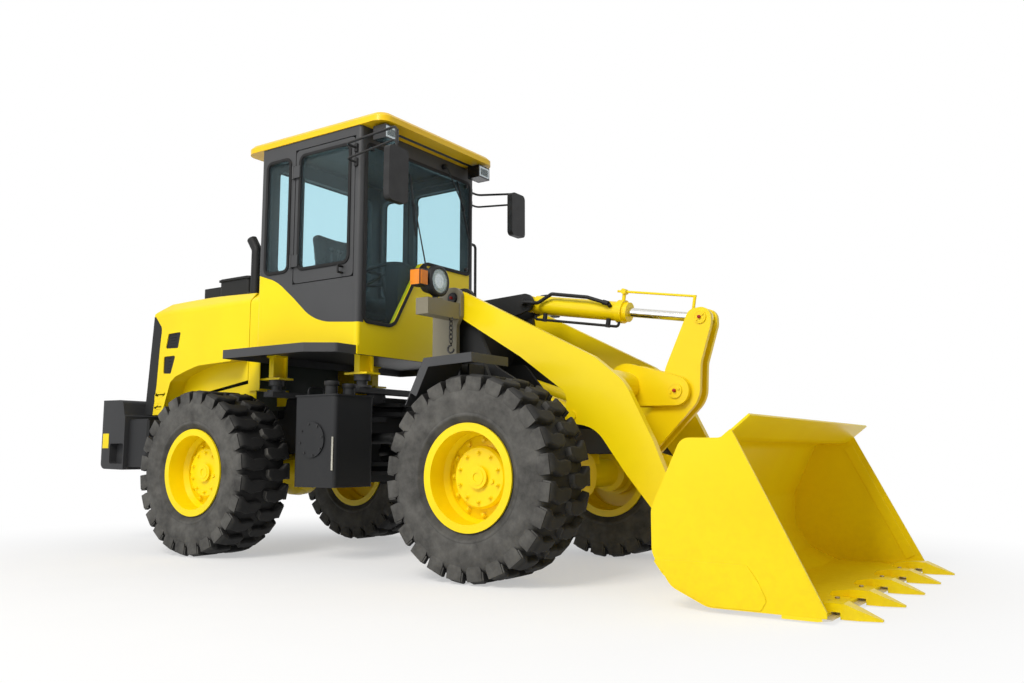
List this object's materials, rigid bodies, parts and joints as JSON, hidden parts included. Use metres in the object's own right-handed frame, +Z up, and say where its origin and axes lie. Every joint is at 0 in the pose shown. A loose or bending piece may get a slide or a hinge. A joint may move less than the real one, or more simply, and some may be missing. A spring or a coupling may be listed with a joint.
{
  "type": "compact articulated wheel loader",
  "caption": "Articulated wheel loader with a Z-bar boom, toothed bucket, enclosed cab, tilting hood, hinged door and hatch, hinged frame and rolling wheels.",
  "frame": {"origin": "on the ground, in the middle of the overall length and width", "axes": "+X forward towards the bucket, +Y to the driver's left, +Z up"},
  "size_m": [5.798, 2.028, 2.8608],
  "materials": {
    "yellow_paint": "gloss paint, lightly dusty",
    "roof_yellow": "gloss paint",
    "dark_grey_paint": "satin paint",
    "frame_black": "satin paint",
    "grey_casting": "painted casting",
    "tyre_rubber": "dusty rubber",
    "glass_tint": "clear tinted safety glass",
    "bright_rod": "hard chrome",
    "seat_vinyl": "black vinyl and cloth",
    "black_plastic": "moulded plastic",
    "lamp_beige": "satin beige-grey paint",
    "hose_rubber": "rubber-covered hydraulic line",
    "engine_paint": "engine enamel"
  },
  "bodies": {
    "rear_body": {"rear_frame": "frame_black", "counterweight": "grey_casting", "engine_block": "engine_paint", "rear_axle": "yellow_paint", "rear_drive_shaft": "frame_black", "battery_boxes": "dark_grey_paint", "tanks": "dark_grey_paint", "steps_and_rails": "dark_grey_paint", "platform": "dark_grey_paint", "cab_shell": "dark_grey_paint", "cab_base": "yellow_paint", "cab_roof": "roof_yellow", "cab_glass": "glass_tint", "cab_mounts": "yellow_paint", "seat_cushions": "seat_vinyl", "steering_column": "black_plastic", "cab_consoles": "black_plastic", "mirrors": "black_plastic", "rear_body_lights": "black_plastic", "cowl_and_rear_fenders": "yellow_paint", "tail_skirt": "frame_black"},
    "hood": {"hood": "yellow_paint", "hood_rear_panel": "frame_black", "intake_and_exhaust": "frame_black"},
    "door_left": {"door_left": "dark_grey_paint", "door_left_base": "yellow_paint", "door_left_glass": "glass_tint"},
    "side_hatch_right": {"side_hatch_right": "dark_grey_paint", "side_hatch_right_glass": "glass_tint"},
    "front_body": {"front_frame": "frame_black", "front_axle": "yellow_paint", "front_drive_shaft": "frame_black", "front_fenders": "dark_grey_paint", "headlights": "black_plastic", "lamp_towers": "lamp_beige"},
    "boom": {"boom": "yellow_paint"},
    "bellcrank": {"bellcrank": "yellow_paint"},
    "bucket_link": {"bucket_link": "yellow_paint"},
    "bucket": {"bucket_shell": "yellow_paint", "bucket_wear_plates": "yellow_paint", "cutting_edge": "yellow_paint", "bucket_teeth": "yellow_paint"},
    "lift_barrels": {"lift_cylinder_barrels": "yellow_paint"},
    "lift_rods": {"lift_cylinder_rods": "bright_rod"},
    "tilt_barrel": {"tilt_cylinder_barrel": "yellow_paint", "tilt_cylinder_lines": "hose_rubber"},
    "tilt_rod": {"tilt_cylinder_rod": "bright_rod", "level_indicator": "yellow_paint"},
    "front_right_wheel": {"front_right_tyre": "tyre_rubber", "front_right_rim": "yellow_paint"},
    "front_left_wheel": {"front_left_tyre": "tyre_rubber", "front_left_rim": "yellow_paint"},
    "rear_right_wheel": {"rear_right_tyre": "tyre_rubber", "rear_right_rim": "yellow_paint"},
    "rear_left_wheel": {"rear_left_tyre": "tyre_rubber", "rear_left_rim": "yellow_paint"},
    "steering_barrel_right": {"steering_barrel_right": "frame_black"},
    "steering_rod_right": {"steering_rod_right": "bright_rod"},
    "steering_barrel_left": {"steering_barrel_left": "frame_black"},
    "steering_rod_left": {"steering_rod_left": "bright_rod"}
  },
  "joints": [
    {"name": "articulation", "type": "hinge", "parent": "rear_body", "child": "front_body", "pos_m": [-0.21, 0, 0.755], "axis": [0, 0, 1], "range_deg": [-35, 35]},
    {"name": "boom_lift", "type": "hinge", "parent": "front_body", "child": "boom", "pos_m": [0.428, 0, 1.586], "axis": [0, -1, 0], "range_deg": [0, 85]},
    {"name": "bucket_tilt", "type": "hinge", "parent": "boom", "child": "bucket", "pos_m": [1.895, 0, 0.29], "axis": [0, -1, 0], "range_deg": [-125, 45]},
    {"name": "bellcrank_swing", "type": "hinge", "parent": "boom", "child": "bellcrank", "pos_m": [1.705, 0, 1.001], "axis": [0, -1, 0], "range_deg": [-20.25, 56.25]},
    {"name": "bucket_link_swing", "type": "hinge", "parent": "bucket", "child": "bucket_link", "pos_m": [1.95, 0, 0.523], "axis": [0, -1, 0], "range_deg": [-37.8, 105]},
    {"name": "lift_barrels_swing", "type": "hinge", "parent": "front_body", "child": "lift_barrels", "pos_m": [0.455, 0, 1.13], "axis": [0, -1, 0], "range_deg": [0, 76.26]},
    {"name": "lift_rods_extend", "type": "slide", "parent": "lift_barrels", "child": "lift_rods", "axis": [0.9472, 0, -0.3206], "range_m": [0, 0.59494]},
    {"name": "tilt_barrel_swing", "type": "hinge", "parent": "front_body", "child": "tilt_barrel", "pos_m": [0.72, 0, 1.58], "axis": [0, -1, 0], "range_deg": [0, 98.41]},
    {"name": "tilt_rod_extend", "type": "slide", "parent": "tilt_barrel", "child": "tilt_rod", "axis": [0.9874, 0, -0.158], "range_m": [-0.37503, 0.13502]},
    {"name": "hood_open", "type": "hinge", "parent": "rear_body", "child": "hood", "pos_m": [-2.41, 0, 1.097], "axis": [0, -1, 0], "range_deg": [0, 60]},
    {"name": "door_left_swing", "type": "hinge", "parent": "rear_body", "child": "door_left", "pos_m": [-0.8, 0.612, 2], "axis": [0, 0, 1], "range_deg": [0, 90]},
    {"name": "side_hatch_right_swing", "type": "hinge", "parent": "rear_body", "child": "side_hatch_right", "pos_m": [-0.8, -0.612, 2.2], "axis": [0, 0, -1], "range_deg": [0, 90]},
    {"name": "front_right_roll", "type": "hinge", "parent": "front_body", "child": "front_right_wheel", "pos_m": [0.91, -0.75, 0.537], "axis": [0, 1, 0], "continuous": true},
    {"name": "front_left_roll", "type": "hinge", "parent": "front_body", "child": "front_left_wheel", "pos_m": [0.91, 0.75, 0.537], "axis": [0, 1, 0], "continuous": true},
    {"name": "rear_right_roll", "type": "hinge", "parent": "rear_body", "child": "rear_right_wheel", "pos_m": [-1.33, -0.75, 0.537], "axis": [0, 1, 0], "continuous": true},
    {"name": "rear_left_roll", "type": "hinge", "parent": "rear_body", "child": "rear_left_wheel", "pos_m": [-1.33, 0.75, 0.537], "axis": [0, 1, 0], "continuous": true},
    {"name": "steering_barrel_right_swing", "type": "hinge", "parent": "rear_body", "child": "steering_barrel_right", "pos_m": [-0.63, -0.375, 0.755], "axis": [0, 0, 1], "range_deg": [-11.71, 11.71]},
    {"name": "steering_rod_right_extend", "type": "slide", "parent": "steering_barrel_right", "child": "steering_rod_right", "axis": [0.9875, 0.1577, 0], "range_m": [-0.18201, 0.18201]},
    {"name": "steering_barrel_left_swing", "type": "hinge", "parent": "rear_body", "child": "steering_barrel_left", "pos_m": [-0.63, 0.375, 0.755], "axis": [0, 0, 1], "range_deg": [-11.71, 11.71]},
    {"name": "steering_rod_left_extend", "type": "slide", "parent": "steering_barrel_left", "child": "steering_rod_left", "axis": [0.9875, -0.1577, 0], "range_m": [-0.18201, 0.18201]}
  ],
  "couplings": [
    {"joint": "bellcrank_swing", "follows": "bucket_tilt", "ratio": -0.45},
    {"joint": "bucket_link_swing", "follows": "bucket_tilt", "ratio": -0.84},
    {"joint": "lift_barrels_swing", "follows": "boom_lift", "ratio": 0.89707},
    {"joint": "lift_rods_extend", "follows": "boom_lift", "m_per_rad": 0.40102},
    {"joint": "tilt_barrel_swing", "follows": "boom_lift", "ratio": 1.1577},
    {"joint": "tilt_rod_extend", "follows": "bucket_tilt", "m_per_rad": 0.1719},
    {"joint": "steering_barrel_right_swing", "follows": "articulation", "ratio": 0.3344},
    {"joint": "steering_rod_right_extend", "follows": "articulation", "m_per_rad": 0.29793},
    {"joint": "steering_barrel_left_swing", "follows": "articulation", "ratio": 0.3344},
    {"joint": "steering_rod_left_extend", "follows": "articulation", "m_per_rad": -0.29793}
  ]
}
